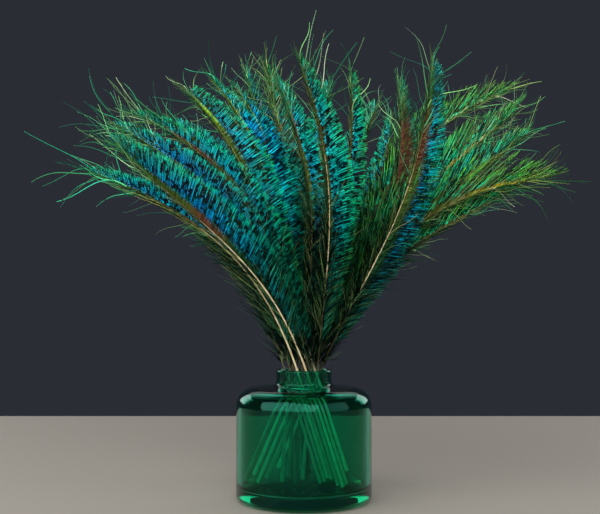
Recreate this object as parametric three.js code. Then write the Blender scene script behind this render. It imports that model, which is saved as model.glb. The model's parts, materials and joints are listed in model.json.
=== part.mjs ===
// A squat bottle vase of clear green glass holding a fan of peacock sword feathers.
// Millimetres, +Z up. The origin is on the vase's axis, on the surface that it stands on.
// The broad side of the fan looks along -Y, and -X is its left.

import * as THREE from "three";

// The vase, as one piece of blown glass with a thick foot
const vase = {
  height: 100,
  bodyRadius: 52.5,
  neckRadius: 21.5,
  neckWall: 3,
  bodyWall: 3.5,
  wallTop: 72, // where the straight side meets the round shoulder
  shoulderRadius: 14,
  shoulderRise: 1.5, // the shoulder's slope up to the neck
  neckFillet: 3,
  footFillet: 5,
  floor: 8.5, // height of the inside floor at its edge
  floorDome: 2.5, // rise of the inside floor to its middle
  floorFillet: 6,
  arcSteps: 2,
  turnSteps: 32,
};

// The quills pass the neck in four parallel bunches, one behind the other, so none meets another
const waist = 93; // height at which the bunches cross
const bunches = {
  left: { lean: 17.5, front: -13.6, back: -7.8 }, // degrees from upright at the neck, + to the left
  middle: { lean: -4, front: -4.1, back: -2.1 }, // front and back give the bunch's span in Y
  right: { lean: -23.5, front: 1.6, back: 6.1 },
  back: { lean: 0, front: 9.8, back: 13.6 },
};
const fanReach = 260; // distance from the neck at which a feather has its full depth
const fanFlare = 1.1; // how late the fan opens in depth
const bendShare = 0.42; // of the distance from neck to tip, as the curve's handles

// Every feather of each bunch, from the front to the back:
// slot: where its quill passes the neck, in X; tip: where its shaft ends, in X and Z;
// heading: where the tip points, in degrees from upright, + to the left; depth: Y of the tip;
// vane: length of its longest side barbs; wisp: length of the loose barbs at its tip
const feathers = {
  left: [
    { slot: 3.9, tip: [-134, 264], heading: 46, depth: -80, vane: 26, wisp: 42 },
    { slot: -2.8, tip: [-155, 248], heading: 68, depth: -60, vane: 14, wisp: 42 },
    { slot: 7, tip: [-136, 282], heading: 60, depth: -43, vane: 17, wisp: 42 },
    { slot: 10.6, tip: [-122, 293], heading: 62, depth: -26, vane: 17, wisp: 38 },
    { slot: -8.5, tip: [-90, 314], heading: 46, depth: -8, vane: 33, wisp: 24 },
    { slot: 0.8, tip: [-70, 326], heading: 38, depth: 8, vane: 22, wisp: 26 },
    { slot: -5.4, tip: [-55, 325], heading: 36, depth: 25, vane: 20, wisp: 26 },
    { slot: -12.3, tip: [-150, 250], heading: 64, depth: 60, vane: 22, wisp: 35 },
  ],
  middle: [
    { slot: 10, tip: [-2, 321], heading: 20, depth: -85, vane: 19, wisp: 48 },
    { slot: 4.5, tip: [35, 316], heading: 3, depth: -60, vane: 14, wisp: 30 },
    { slot: -1, tip: [-19, 324], heading: 22, depth: 12, vane: 19, wisp: 26 },
    { slot: -6.5, tip: [-29, 338], heading: 12, depth: 36, vane: 20, wisp: 30 },
    { slot: -11.5, tip: [-48, 344], heading: 16, depth: 56, vane: 22, wisp: 28 },
  ],
  right: [
    { slot: 10, tip: [91, 317], heading: -4, depth: -80, vane: 20, wisp: 34 },
    { slot: 4.5, tip: [172, 243], heading: -82, depth: -58, vane: 18, wisp: 36 },
    { slot: -1, tip: [157, 238], heading: -60, depth: -36, vane: 17, wisp: 32 },
    { slot: -6.5, tip: [165, 277], heading: -52, depth: -15, vane: 19, wisp: 36 },
    { slot: -12, tip: [162, 299], heading: -48, depth: 6, vane: 19, wisp: 38 },
    { slot: 10, tip: [78, 326], heading: 4, depth: 27, vane: 20, wisp: 28 },
    { slot: 4.5, tip: [166, 328], heading: -66, depth: 50, vane: 18, wisp: 34 },
  ],
  back: [
    { slot: 10, tip: [74, 306], heading: -4, depth: 68, vane: 15, wisp: 26 },
    { slot: 5, tip: [135, 292], heading: -46, depth: 80, vane: 23, wisp: 32 },
    { slot: -10, tip: [-108, 305], heading: 48, depth: 88, vane: 23, wisp: 32 },
    { slot: -0.5, tip: [22, 340], heading: -5, depth: 96, vane: 23, wisp: 32 },
    { slot: -5.8, tip: [-60, 325], heading: 22, depth: 107, vane: 23, wisp: 32 },
    { slot: 2.8, tip: [64, 326], heading: -20, depth: 114, vane: 23, wisp: 32 },
  ],
};

// A feather's own form. Each list runs evenly from the lowest barbs to the tip.
const quillRadius = 1.6; // at the cut end
const quillTaper = [1, 0.84, 0.7, 0.52, 0.34, 0.15]; // share of quillRadius, from the cut end to the tip
const bareQuill = 28; // bare shaft above the waist, before the lowest barbs
const cutHeights = [12.5, 18, 14, 24, 16]; // height of the cut ends in the vase, taken in turn
const wideVane = { reach: [0.6, 0.85, 1, 1, 1, 0.95, 0.9], angle: [24, 44, 58, 62, 60, 44, 7] };
const narrowVane = { reach: [0.7, 1, 0.9, 0.7, 0.6, 0.6, 0.8], angle: [20, 26, 20, 14, 11, 9, 6] };
const wispStart = 0.84; // share of the vane above which the barbs lengthen into the tip's wisps
const vaneTwist = 24; // degrees by which the vanes turn out of the fan's plane, at the tip
const vaneEdge = 0.3; // half the thickness of the barbs' ends
const lockNotch = 0.74; // how far the barbs reach between two locks
const vaneSteps = 14;

const glassGreen = new THREE.MeshStandardMaterial({
  color: 0x0b6b45,
  roughness: 0.03,
  metalness: 0,
  transparent: true,
  opacity: 0.45,
});
const featherTeal = new THREE.MeshStandardMaterial({ color: 0x0a6f78, roughness: 0.45, metalness: 0.2 });

const radians = THREE.MathUtils.degToRad;
const { lerp } = THREE.MathUtils;

// The vase's outline from the middle of the foot, up the outside, over the rim and down the inside
function vaseOutline() {
  const v = vase;
  const shoulderCentre = v.bodyRadius - v.shoulderRadius;
  const shoulderTop = v.wallTop + v.shoulderRadius;
  const neckFoot = shoulderTop + v.shoulderRise;
  const neckInside = v.neckRadius - v.neckWall;
  const rimRadius = v.neckWall / 2;
  const bodyInside = v.bodyRadius - v.bodyWall;
  const innerShoulder = v.shoulderRadius - v.bodyWall;
  const innerNeckFoot = neckFoot - v.bodyWall;

  const outline = new THREE.Path();
  outline.moveTo(0, 0);
  outline.lineTo(v.bodyRadius - v.footFillet, 0);
  outline.absarc(v.bodyRadius - v.footFillet, v.footFillet, v.footFillet, -Math.PI / 2, 0);
  outline.lineTo(v.bodyRadius, v.wallTop);
  outline.absarc(shoulderCentre, v.wallTop, v.shoulderRadius, 0, Math.PI / 2);
  outline.lineTo(v.neckRadius + v.neckFillet, neckFoot);
  outline.quadraticCurveTo(v.neckRadius, neckFoot, v.neckRadius, neckFoot + v.neckFillet);
  outline.lineTo(v.neckRadius, v.height - rimRadius);
  outline.absarc(v.neckRadius - rimRadius, v.height - rimRadius, rimRadius, 0, Math.PI);
  outline.lineTo(neckInside, innerNeckFoot + v.neckFillet);
  outline.quadraticCurveTo(neckInside, innerNeckFoot, neckInside + v.neckFillet, innerNeckFoot);
  outline.lineTo(shoulderCentre, v.wallTop + innerShoulder);
  outline.absarc(shoulderCentre, v.wallTop, innerShoulder, Math.PI / 2, 0, true);
  outline.lineTo(bodyInside, v.floor + v.floorFillet);
  outline.absarc(bodyInside - v.floorFillet, v.floor + v.floorFillet, v.floorFillet, 0, -Math.PI / 2, true);
  outline.quadraticCurveTo(bodyInside / 2, v.floor + v.floorDome, 0, v.floor + v.floorDome);
  return outline.getPoints(v.arcSteps);
}

function makeVase() {
  const turned = new THREE.LatheGeometry(vaseOutline(), vase.turnSteps);
  turned.rotateX(Math.PI / 2);
  const mesh = new THREE.Mesh(turned, glassGreen);
  mesh.name = "vase";
  return mesh;
}

// A unit vector in the fan's plane, that many degrees from upright towards the left
function direction(degrees) {
  return new THREE.Vector2(-Math.sin(radians(degrees)), Math.cos(radians(degrees)));
}

// The value of an evenly spaced list at share 0 to 1 of its length
function along(list, share) {
  const place = THREE.MathUtils.clamp(share, 0, 1) * (list.length - 1);
  const index = Math.min(Math.floor(place), list.length - 2);
  return lerp(list[index], list[index + 1], place - index);
}

// The shaft in the fan's plane: straight through the vase and the neck, then one bend to the tip
function shaftCurve(feather, bunch, cutHeight) {
  const neck = new THREE.Vector2(feather.slot, waist);
  const tip = new THREE.Vector2(...feather.tip);
  const out = direction(bunch.lean);
  const handle = neck.distanceTo(tip) * bendShare;
  const foot = neck.clone().addScaledVector(out, (cutHeight - waist) / out.y);
  const bendStart = neck.clone().addScaledVector(out, handle);
  const bendEnd = tip.clone().addScaledVector(direction(feather.heading), -handle);
  const shaft = new THREE.CurvePath();
  shaft.add(new THREE.LineCurve(foot, neck));
  shaft.add(new THREE.CubicBezierCurve(neck, bendStart, bendEnd, tip));
  return shaft;
}

// Depth of a feather's leaf-like surface at a point of the fan's plane
function depthAt(x, z, neckDepth, tipDepth) {
  const climb = Math.max(0, z - waist);
  const spread = Math.hypot(climb, (x * climb) / (climb + 30));
  return lerp(neckDepth, tipDepth, (spread / fanReach) ** fanFlare);
}

// One cross-section of a feather at a share of its length: four points in front and four behind
function crossSection(feather, shaft, share, barbShare, wideSide, notch) {
  const centre = shaft.getPointAt(share);
  const tangent = shaft.getTangentAt(share);
  const across = new THREE.Vector2(tangent.y, -tangent.x).multiplyScalar(wideSide);
  const radius = quillRadius * along(quillTaper, share);
  const flat = radius * Math.cos(Math.PI / 8);
  const edge = radius * Math.sin(Math.PI / 8);

  const barbEnd = (vane, side) => {
    if (barbShare < 0) return centre.clone().addScaledVector(across, side * flat);
    const angle = radians(along(vane.angle, barbShare));
    const wispy = THREE.MathUtils.smoothstep(barbShare, wispStart, 1);
    const reach = radius + lerp(feather.vane * along(vane.reach, barbShare), feather.wisp, wispy) * notch;
    return centre
      .clone()
      .addScaledVector(tangent, reach * Math.cos(angle))
      .addScaledVector(across, side * reach * Math.sin(angle));
  };
  const endHalf = barbShare < 0 ? edge : Math.min(edge, vaneEdge);
  const profile = [
    [barbEnd(narrowVane, -1), endHalf],
    [centre.clone().addScaledVector(across, -edge), flat],
    [centre.clone().addScaledVector(across, edge), flat],
    [barbEnd(wideVane, 1), endHalf],
  ];
  // The front vanes turn their wide side to the front, and the back ones to the back
  const slope = Math.sign(feather.depth) * Math.tan(radians(vaneTwist * Math.max(0, barbShare)));
  const face = (side) =>
    profile.map(([point, half]) => {
      const lift = slope * point.clone().sub(centre).dot(across);
      return new THREE.Vector3(point.x, lift + side * half, point.y);
    });
  return [...face(-1), ...face(1).reverse()];
}

// A closed skin over a row of cross-sections that have the same number of points
function loft(sections, turned) {
  const count = sections[0].length;
  const triangles = [];
  const quad = (a, b, c, d) => triangles.push(a, b, c, a, c, d);
  for (let row = 0; row + 1 < sections.length; row++) {
    for (let i = 0; i < count; i++) {
      const next = (i + 1) % count;
      quad(row * count + i, row * count + next, (row + 1) * count + next, (row + 1) * count + i);
    }
  }
  const last = (sections.length - 1) * count;
  for (let i = 0; i + 1 < count / 2; i++) {
    quad(i, count - 1 - i, count - 2 - i, i + 1);
    quad(last + i, last + i + 1, last + count - 2 - i, last + count - 1 - i);
  }
  if (turned) triangles.reverse();
  const skin = new THREE.BufferGeometry().setFromPoints(sections.flat());
  return skin.setIndex(triangles);
}

// One feather: its quill, the wide vane on the outside of its bend and the narrow one inside
function makeFeather(name, feather, bunch, neckDepth, cutHeight) {
  const shaft = shaftCurve(feather, bunch, cutHeight);
  const length = shaft.getLength();
  const neckShare = shaft.curves[0].getLength() / length;
  const vaneStart = neckShare + bareQuill / length;
  const wideSide = Math.sign(feather.heading - bunch.lean);

  const bareShares = [0, neckShare, lerp(neckShare, vaneStart, 0.55)];
  const stations = bareShares.map((share) => ({ share, barbShare: -1, notch: 1 }));
  for (let step = 0; step <= vaneSteps; step++) {
    const barbShare = step / vaneSteps;
    const notch = step % 2 === vaneSteps % 2 ? 1 : lockNotch;
    stations.push({ share: lerp(vaneStart, 1, barbShare), barbShare, notch });
  }
  const sections = stations.map(({ share, barbShare, notch }) =>
    crossSection(feather, shaft, share, barbShare, wideSide, notch),
  );
  for (const point of sections.flat()) point.y += depthAt(point.x, point.z, neckDepth, feather.depth);
  const mesh = new THREE.Mesh(loft(sections, wideSide < 0), featherTeal);
  mesh.name = name;
  return mesh;
}

const vaseOfFeathers = new THREE.Group();
vaseOfFeathers.add(makeVase());
let made = 0;
for (const [side, row] of Object.entries(feathers)) {
  const bunch = bunches[side];
  row.forEach((feather, index) => {
    const neckDepth = lerp(bunch.front, bunch.back, index / (row.length - 1));
    const cutHeight = cutHeights[made++ % cutHeights.length];
    vaseOfFeathers.add(makeFeather(`feather_${side}_${index + 1}`, feather, bunch, neckDepth, cutHeight));
  });
}

export default vaseOfFeathers;
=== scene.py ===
import json
import math

import bpy
import numpy as np
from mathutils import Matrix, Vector

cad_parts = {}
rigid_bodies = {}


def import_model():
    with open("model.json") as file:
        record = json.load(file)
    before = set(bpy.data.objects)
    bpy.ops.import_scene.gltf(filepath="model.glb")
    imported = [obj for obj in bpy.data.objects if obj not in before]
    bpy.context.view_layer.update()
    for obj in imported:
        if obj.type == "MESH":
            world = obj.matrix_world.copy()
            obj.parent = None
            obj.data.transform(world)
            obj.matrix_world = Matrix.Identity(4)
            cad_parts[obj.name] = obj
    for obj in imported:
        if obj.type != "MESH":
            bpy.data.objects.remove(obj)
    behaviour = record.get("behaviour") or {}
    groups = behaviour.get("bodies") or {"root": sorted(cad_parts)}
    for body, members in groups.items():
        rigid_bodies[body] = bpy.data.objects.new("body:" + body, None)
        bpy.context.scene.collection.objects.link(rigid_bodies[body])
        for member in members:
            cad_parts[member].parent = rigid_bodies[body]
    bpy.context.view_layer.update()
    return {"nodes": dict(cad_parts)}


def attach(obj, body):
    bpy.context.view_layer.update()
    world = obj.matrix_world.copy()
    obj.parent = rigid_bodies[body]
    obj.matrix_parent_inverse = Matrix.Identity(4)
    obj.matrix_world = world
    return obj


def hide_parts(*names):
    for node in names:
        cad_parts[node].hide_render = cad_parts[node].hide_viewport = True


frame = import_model()
print("frame:", len(frame["nodes"]), "solids")
scene = bpy.context.scene
mm = 0.001
noiseRange = (0.3, 0.7)  # where most of a noise texture lies


# Small helpers for colours and node trees

def colour(code):
    parts = [int(code[i:i + 2], 16) / 255 for i in (1, 3, 5)]
    linear = [p / 12.92 if p <= 0.04045 else ((p + 0.055) / 1.055) ** 2.4 for p in parts]
    return (*linear, 1.0)


def addNode(tree, kind, inputs=None, **settings):
    node = tree.nodes.new(kind)
    for name, value in settings.items():
        setattr(node, name, value)
    for key, value in (inputs or {}).items():
        if isinstance(value, bpy.types.NodeSocket):
            tree.links.new(value, node.inputs[key])
        else:
            node.inputs[key].default_value = value
    return node


def calc(tree, operation, *values):
    node = addNode(tree, "ShaderNodeMath", dict(enumerate(values)), operation=operation)
    return node.outputs[0]


def vectorCalc(tree, operation, *values):
    node = addNode(tree, "ShaderNodeVectorMath", dict(enumerate(values)), operation=operation)
    return node.outputs["Vector"]


def vectorOf(tree, **parts):
    return addNode(tree, "ShaderNodeCombineXYZ", parts).outputs[0]


def scaled(tree, vector, amount):
    node = addNode(tree, "ShaderNodeVectorMath", {"Vector": vector, "Scale": amount}, operation="SCALE")
    return node.outputs["Vector"]


def mapped(tree, value, low, high, toLow, toHigh, smooth=False):
    inputs = {"Value": value, "From Min": low, "From Max": high, "To Min": toLow, "To Max": toHigh}
    kind = "SMOOTHSTEP" if smooth else "LINEAR"
    return addNode(tree, "ShaderNodeMapRange", inputs, interpolation_type=kind).outputs["Result"]


def mixed(tree, share, first, second):
    node = addNode(tree, "ShaderNodeMix", data_type="RGBA")
    for socket, value in zip((node.inputs[0], node.inputs[6], node.inputs[7]), (share, first, second)):
        if isinstance(value, bpy.types.NodeSocket):
            tree.links.new(value, socket)
        else:
            socket.default_value = value
    return node.outputs[2]


def ramp(tree, value, stops):
    node = addNode(tree, "ShaderNodeValToRGB", {"Fac": value})
    band = node.color_ramp
    while len(band.elements) < len(stops):
        band.elements.new(0.5)
    for element, (place, code) in zip(band.elements, stops):
        element.position = place
        element.color = colour(code)
    return node.outputs["Color"]


# An evenly spaced list as a smooth curve over 0 to 1
def listCurve(tree, value, values):
    top = max(values)
    node = addNode(tree, "ShaderNodeFloatCurve", {"Value": value})
    points = node.mapping.curves[0].points
    points[0].location = (0, values[0] / top)
    points[-1].location = (1, values[-1] / top)
    for i, v in enumerate(values[1:-1], start=1):
        points.new(i / (len(values) - 1), v / top)
    node.mapping.update()
    return calc(tree, "MULTIPLY", node.outputs[0], top)


def newMaterial(name):
    material = bpy.data.materials.new(name)
    material.use_nodes = True
    return material, material.node_tree.nodes["Principled BSDF"]


def makeObject(name, mesh):
    made = bpy.data.objects.new(name, mesh)
    scene.collection.objects.link(made)
    return made


# The vase: one turned skin of glass, closed over the rim

vase = {
    "height": 100, "bodyRadius": 52.5, "neckRadius": 21.5, "neckWall": 3, "bodyWall": 3.5,
    "wallTop": 72, "shoulderRadius": 14, "shoulderRise": 1.5, "neckFillet": 3, "footFillet": 5,
    "floor": 8.5, "floorDome": 2.5, "floorFillet": 6,
    "turnSteps": 144, "baseSteps": 6, "wallSteps": 24, "shoulderSteps": 28, "innerShoulderSteps": 24,
    "neckSteps": 14, "filletSteps": 14, "rimSteps": 20, "domeSteps": 10,
}
glass = {
    "tint": (0.028, 0.51, 0.325, 1), "roughness": 0.015, "index": 1.45, "shine": (0.12, 0.62, 0.5, 1),
    "depthTint": (0.032, 0.839, 0.72, 1), "density": 42,
}


def arc(centreX, centreZ, radius, start, end, steps):
    turns = np.radians(np.linspace(start, end, steps + 1))
    return [(centreX + radius * math.cos(t), centreZ + radius * math.sin(t)) for t in turns]


def bow(start, handle, end, steps):
    start, handle, end = np.array(start), np.array(handle), np.array(end)
    shares = np.linspace(0, 1, steps + 1)
    return [tuple((1 - s) ** 2 * start + 2 * s * (1 - s) * handle + s * s * end) for s in shares]


def rise(x, low, high, steps):
    return [(x, z) for z in np.linspace(low, high, steps + 1)][1:-1]


def vaseOutline():
    v = vase
    shoulderX = v["bodyRadius"] - v["shoulderRadius"]
    neckFoot = v["wallTop"] + v["shoulderRadius"] + v["shoulderRise"]
    neckInside = v["neckRadius"] - v["neckWall"]
    rim = v["neckWall"] / 2
    inside = v["bodyRadius"] - v["bodyWall"]
    innerFoot = neckFoot - v["bodyWall"]
    innerShoulder = v["shoulderRadius"] - v["bodyWall"]
    fillet = v["neckFillet"]
    floorZ = v["floor"] + v["floorFillet"]
    floorX = inside - v["floorFillet"]
    domeTop = v["floor"] + v["floorDome"]
    footX = v["bodyRadius"] - v["footFillet"]
    outline = [(x, 0) for x in np.linspace(0, footX, v["baseSteps"] + 1)][:-1]
    outline += arc(footX, v["footFillet"], v["footFillet"], -90, 0, v["filletSteps"])
    outline += rise(v["bodyRadius"], v["footFillet"], v["wallTop"], v["wallSteps"])
    outline += arc(shoulderX, v["wallTop"], v["shoulderRadius"], 0, 90, v["shoulderSteps"])
    outline += bow((v["neckRadius"] + fillet, neckFoot), (v["neckRadius"], neckFoot),
                   (v["neckRadius"], neckFoot + fillet), v["filletSteps"])
    outline += rise(v["neckRadius"], neckFoot + fillet, v["height"] - rim, v["neckSteps"])
    outline += arc(v["neckRadius"] - rim, v["height"] - rim, rim, 0, 180, v["rimSteps"])
    outline += rise(neckInside, v["height"] - rim, innerFoot + fillet, v["neckSteps"])
    outline += bow((neckInside, innerFoot + fillet), (neckInside, innerFoot),
                   (neckInside + fillet, innerFoot), v["filletSteps"])
    outline += arc(shoulderX, v["wallTop"], innerShoulder, 90, 0, v["innerShoulderSteps"])
    outline += rise(inside, v["wallTop"], floorZ, v["wallSteps"])
    outline += arc(floorX, floorZ, v["floorFillet"], 0, -90, v["filletSteps"])
    outline += bow((floorX, v["floor"]), (inside / 2, domeTop), (0, domeTop), v["domeSteps"])[1:]
    return outline


def makeVase(material):
    outline = vaseOutline()
    turn = vase["turnSteps"]
    points = [(0, 0, outline[0][1] * mm)]
    for x, z in outline[1:-1]:
        for i in range(turn):
            a = 2 * math.pi * i / turn
            points.append((x * mm * math.cos(a), x * mm * math.sin(a), z * mm))
    points.append((0, 0, outline[-1][1] * mm))
    last = len(points) - 1
    rows = len(outline) - 2
    faces = []
    for i in range(turn):
        n = (i + 1) % turn
        faces.append((0, 1 + n, 1 + i))
        for row in range(rows - 1):
            low, high = 1 + row * turn, 1 + (row + 1) * turn
            faces.append((low + i, low + n, high + n, high + i))
        faces.append((1 + (rows - 1) * turn + i, 1 + (rows - 1) * turn + n, last))
    mesh = bpy.data.meshes.new("glassVase")
    mesh.from_pydata(points, [], faces)
    mesh.shade_smooth()
    mesh.materials.append(material)
    made = makeObject("glassVase", mesh)
    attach(made, "root")
    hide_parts("vase")


def greenGlass():
    material, shader = newMaterial("greenGlass")
    tree = material.node_tree
    shader.inputs["Base Color"].default_value = glass["tint"]
    shader.inputs["Transmission Weight"].default_value = 1
    shader.inputs["Roughness"].default_value = glass["roughness"]
    shader.inputs["IOR"].default_value = glass["index"]
    shader.inputs["Specular Tint"].default_value = glass["shine"]
    depth = addNode(tree, "ShaderNodeVolumeAbsorption",
                    {"Color": glass["depthTint"], "Density": glass["density"]})
    tree.links.new(depth.outputs[0], tree.nodes["Material Output"].inputs["Volume"])
    return material


# The feathers, in the fan's plane as the solids have them. Millimetres and degrees.

fan = {
    "waist": 93,  # height where the shafts cross the neck
    "bendShare": 0.42,  # how far the bend's handles reach
    "bareQuill": 28,  # shaft without barbs above the waist
    "routeSteps": 80,
    "reach": 260, "flare": 1.1, "soften": 30,  # how the fan opens in depth
}
# The last value of a bunch: painted light and shade on the cut ends of its quills, in turn, from 0, dark
# brown painted shade, to 1, ivory
bunches = {
    "left": {"lean": 17.5, "front": -13.6, "back": -7.8, "cutLight": (1.0, 0.55, 0.8)},
    "middle": {"lean": -4, "front": -4.1, "back": -2.1, "cutLight": (0.2, 0.45, 0.1)},
    "right": {"lean": -23.5, "front": 1.6, "back": 6.1, "cutLight": (1.0, 0.5, 0.85)},
    "back": {"lean": 0, "front": 9.8, "back": 13.6, "cutLight": (0.12, 0.04)},
}
cutHeights = [12.5, 18, 14, 24, 16]


# A row below may give its feather another value of any of these
usualLook = {
    "band": 0.3,  # colour of the patch beside the shaft: 0 olive, 0.5 copper, 0.75 gold, 1 lime
    "bandWidth": 0.12, "bandFrom": 0.7, "bandTop": 0.9,  # its share of the vane, across and along
    "cool": 0.55,  # 0 green to 1 blue
    # Painted light and shade: how light each vane is painted, lighter in the bunch lit from the left,
    # darker for feathers set back in the fan
    "shade": 1.0,  # how light the vane is
    "hairs": 20, "thick": 1.0,  # number and width of the wisps at the tip
    "wispSide": 0.0, "wispTurn": 0.0,  # their lean to the wide side, as odds and in degrees
    "gold": 0.35,  # wisps and loose strands, 0 green to 1 olive gold
    "strays": 9,  # loose hairs along the vane
    "sweep": 1.0, "taper": 0.7,  # how far the wide barbs stand off the shaft, their length at the tip
    "blunt": 0,  # least angle of the wide barbs, for a round tip
    "narrow": 1.0, "fringe": 240,  # length and number of the narrow side's strands
    # The down at the root is real, and its near-black is partly painted shade
    "downs": 130, "fluffs": 140,  # black strands at the root, and the thin ones among them
    "behind": 0.0,  # leans both backwards
    # Above the rim and short of paleFrom the shaft is painted dark, as shade from the barbs in front
    "paleFrom": 2.0, "paleTo": 0.6,  # shares of the shaft between which it shows ivory above the rim
}


def row(slot, x, z, heading, depth, vane, wisp, **look):
    return {"slot": slot, "tip": (x, z), "heading": heading, "depth": depth, "vane": vane, "wisp": wisp,
            **usualLook, **look}


feathers = {
    "left": [
        row(3.9, -134, 264, 46, -80, 26, 46, band=0.5, bandWidth=0.2, bandFrom=0.5, bandTop=0.64,
            cool=0.66, hairs=26, gold=0.35, narrow=0.45, behind=0.4, paleFrom=0.0, paleTo=0.7,
            downs=90, fluffs=90, shade=1.7),
        row(-2.8, -155, 248, 68, -60, 14, 50, band=0.2, cool=0.6, hairs=16, gold=0.05, narrow=2.2,
            fringe=80, behind=0.4, paleFrom=0.0, paleTo=0.7, thick=1.3, downs=40, fluffs=60,
            shade=1.7),
        row(7, -136, 282, 60, -43, 17, 46, band=0.3, cool=0.7, hairs=40, gold=0.35, strays=24,
            shade=1.7),
        row(10.6, -122, 293, 62, -26, 17, 42, band=0.5, bandWidth=0.2, bandTop=0.92, cool=0.45,
            hairs=40, gold=0.45, strays=20, shade=1.7),
        row(-8.5, -90, 314, 46, -8, 24, 26, band=1.0, bandWidth=0.2, bandFrom=0.85, bandTop=0.95,
            cool=0.5, hairs=18, gold=0.5, taper=0.62, blunt=80, shade=1.7),
        row(0.8, -70, 326, 38, 8, 22, 30, band=0.9, bandFrom=0.8, cool=0.65, hairs=16, gold=0.1,
            taper=0.35, strays=4, thick=1.5),
        row(-5.4, -55, 325, 36, 25, 20, 30, band=0.85, bandFrom=0.8, cool=0.7, hairs=16, gold=0.1,
            taper=0.35, strays=4, thick=1.5),
        row(-12.3, -150, 250, 64, 60, 22, 35, cool=0.5),
    ],
    "middle": [
        row(10, -2, 321, 20, -85, 19, 54, band=0.3, bandWidth=0.14, cool=0.4, hairs=10, gold=0.4,
            taper=0.6, thick=1.2, behind=0.2, paleFrom=0.5, paleTo=0.78, wispSide=1.0, wispTurn=20),
        row(4.5, 35, 316, 3, -60, 14, 34, cool=0.25, hairs=9, strays=3),
        row(-1, -19, 324, 22, 12, 19, 28, band=0.5, bandFrom=0.78, cool=0.4, shade=0.8),
        row(-6.5, -29, 338, 12, 36, 20, 32, cool=0.3, hairs=60, gold=0.75, sweep=0.6, strays=60,
            shade=0.7),
        row(-11.5, -48, 344, 16, 56, 22, 30, cool=0.9, hairs=26, gold=0.2, taper=0.4, shade=0.45),
    ],
    "right": [
        row(10, 91, 317, -4, -80, 20, 38, band=0.5, bandWidth=0.36, bandFrom=0.68, bandTop=0.86,
            cool=0.7, hairs=14, behind=0.2, paleFrom=0.5, paleTo=0.82, shade=0.45, thick=1.3),
        row(4.5, 172, 243, -82, -58, 18, 38, band=0.78, bandWidth=0.3, bandFrom=0.76, bandTop=0.97,
            cool=-0.25, hairs=36, gold=0.85, sweep=0.3, strays=30),
        row(-1, 157, 238, -60, -36, 17, 34, cool=-0.3, hairs=24, gold=0.5, sweep=0.32, strays=24),
        row(-6.5, 165, 277, -52, -15, 19, 38, band=0.72, bandWidth=0.2, bandFrom=0.6, cool=0.2,
            hairs=36, gold=0.6, sweep=0.42, strays=30),
        row(-12, 162, 299, -48, 6, 19, 40, band=0.65, bandWidth=0.2, cool=-0.05, hairs=44, gold=0.7,
            sweep=0.3, strays=40),
        row(10, 78, 326, 4, 27, 20, 30, band=0.5, bandWidth=0.8, bandFrom=0.62, bandTop=0.88,
            cool=0.5, hairs=16, strays=3, shade=0.45),
        row(4.5, 166, 328, -66, 50, 18, 36, cool=-0.25, hairs=40, gold=0.7, sweep=0.3, strays=40),
    ],
    "back": [
        row(10, 74, 306, -4, 68, 15, 28, band=0.5, cool=0.5, hairs=14),
        row(5, 135, 292, -46, 80, 23, 32, cool=0.35, gold=0.5, sweep=0.75),
        row(-10, -108, 305, 48, 88, 23, 32, cool=0.65),
        row(-0.5, 22, 340, -5, 96, 23, 32, band=0.6, cool=0.5),
        row(-5.8, -60, 325, 22, 107, 23, 32, band=0.8, cool=0.75),
        row(2.8, 64, 326, -20, 114, 23, 32, cool=0.55),
    ],
}

# The shaft. Its tones change in streaks from the first of a pair to the second.
quill = {
    "radius": 1.55, "taper": [1, 0.62, 0.42, 0.34, 0.24, 0.12], "rings": 64, "sides": 8,
    "zone": (0.93, 0.99), "streakScale": 160.0, "streakNoise": (0.35, 0.65), "roughness": (0.32, 0.48),
    # The cut ends' brown pair is painted shade; their ivory pair is painted lighter than the shaft above
    # the rim, as painted light
    "cutShade": ("#3a2e1a", "#54452a"), "cutIvory": ("#e8dcb8", "#fff6dc"),
    # The dark olive pair is painted shade on the shaft above the rim, where barbs in front shade it
    "ivory": ("#b09c74", "#d2c29a"), "shaftShade": ("#24240f", "#3c3a1e"),
    "high": [(0.0, "#2e3818"), (0.5, "#4a4424"), (0.75, "#6e6024"), (1.0, "#7a8a2c")],
    "rimAt": (0.21, 0.27),  # where it leaves the vase, as a share of its length
    "paleSoft": (-0.03, 0.03), "highSoft": (-0.06, 0.08),
}

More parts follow.
